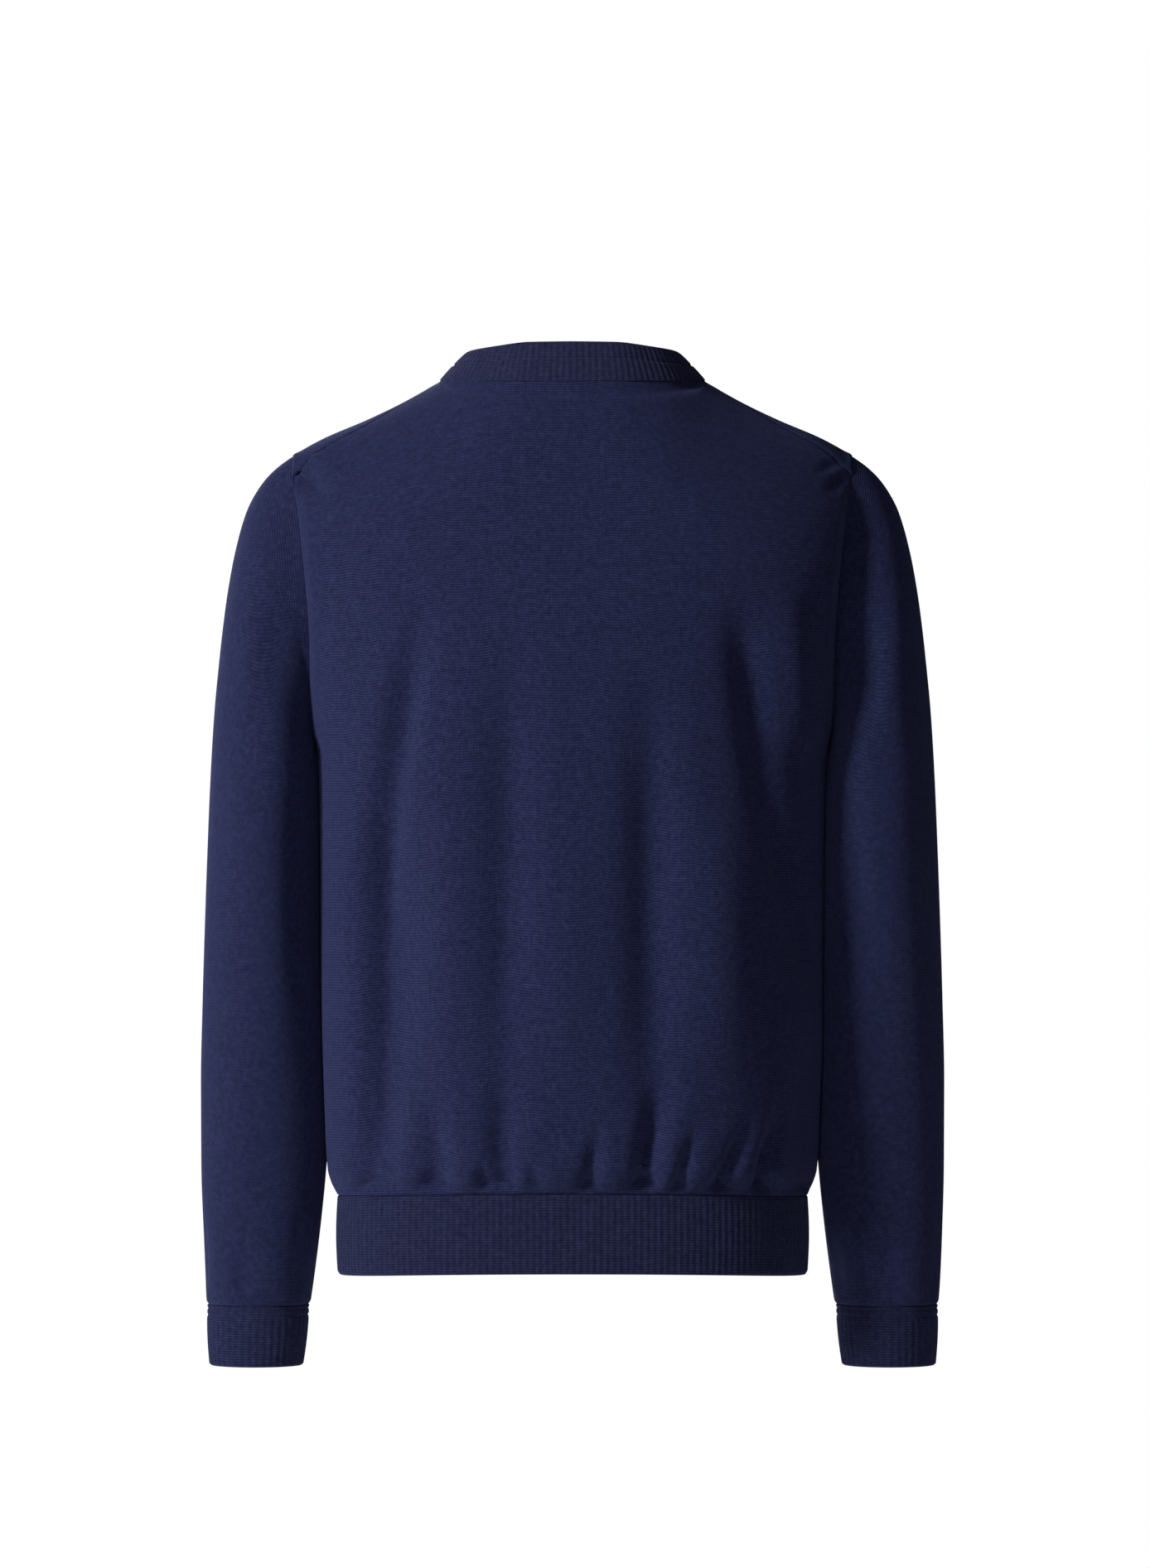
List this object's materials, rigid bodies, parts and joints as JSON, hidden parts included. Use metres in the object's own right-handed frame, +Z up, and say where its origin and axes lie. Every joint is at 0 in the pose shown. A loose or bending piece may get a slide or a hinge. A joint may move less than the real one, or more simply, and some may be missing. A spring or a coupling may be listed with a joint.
{
  "type": "v-neck sweater",
  "caption": "Long-sleeved v-neck sweater in plain dark navy knit with ribbed neckband, hem and cuffs, filled out as if worn with the arms down.",
  "frame": {"origin": "between the shoulders, where the wearer holds it up: at the height of the high points of the shoulders, centred from side to side, in the plane of the side seams", "axes": "+Z up along the wearer's back, -Y the way the wearer faces, +X to the wearer's left"},
  "size_m": [0.5524, 0.255, 0.7579],
  "materials": {
    "back": "fine plain knit, matt, dark navy blue",
    "front": "fine plain knit, matt, dark navy blue",
    "neckband": "fine ribbed knit, matt, dark navy blue",
    "hem_rib": "fine ribbed knit, matt, dark navy blue",
    "sleeve_left": "fine plain knit, matt, dark navy blue",
    "sleeve_right": "fine plain knit, matt, dark navy blue",
    "cuff_left": "fine ribbed knit, matt, dark navy blue",
    "cuff_right": "fine ribbed knit, matt, dark navy blue"
  },
  "bodies": {
    "root": {"back": "back", "front": "front", "neckband": "neckband", "hem_rib": "hem_rib", "sleeve_left": "sleeve_left", "sleeve_right": "sleeve_right", "cuff_left": "cuff_left", "cuff_right": "cuff_right"}
  },
  "joints": []
}
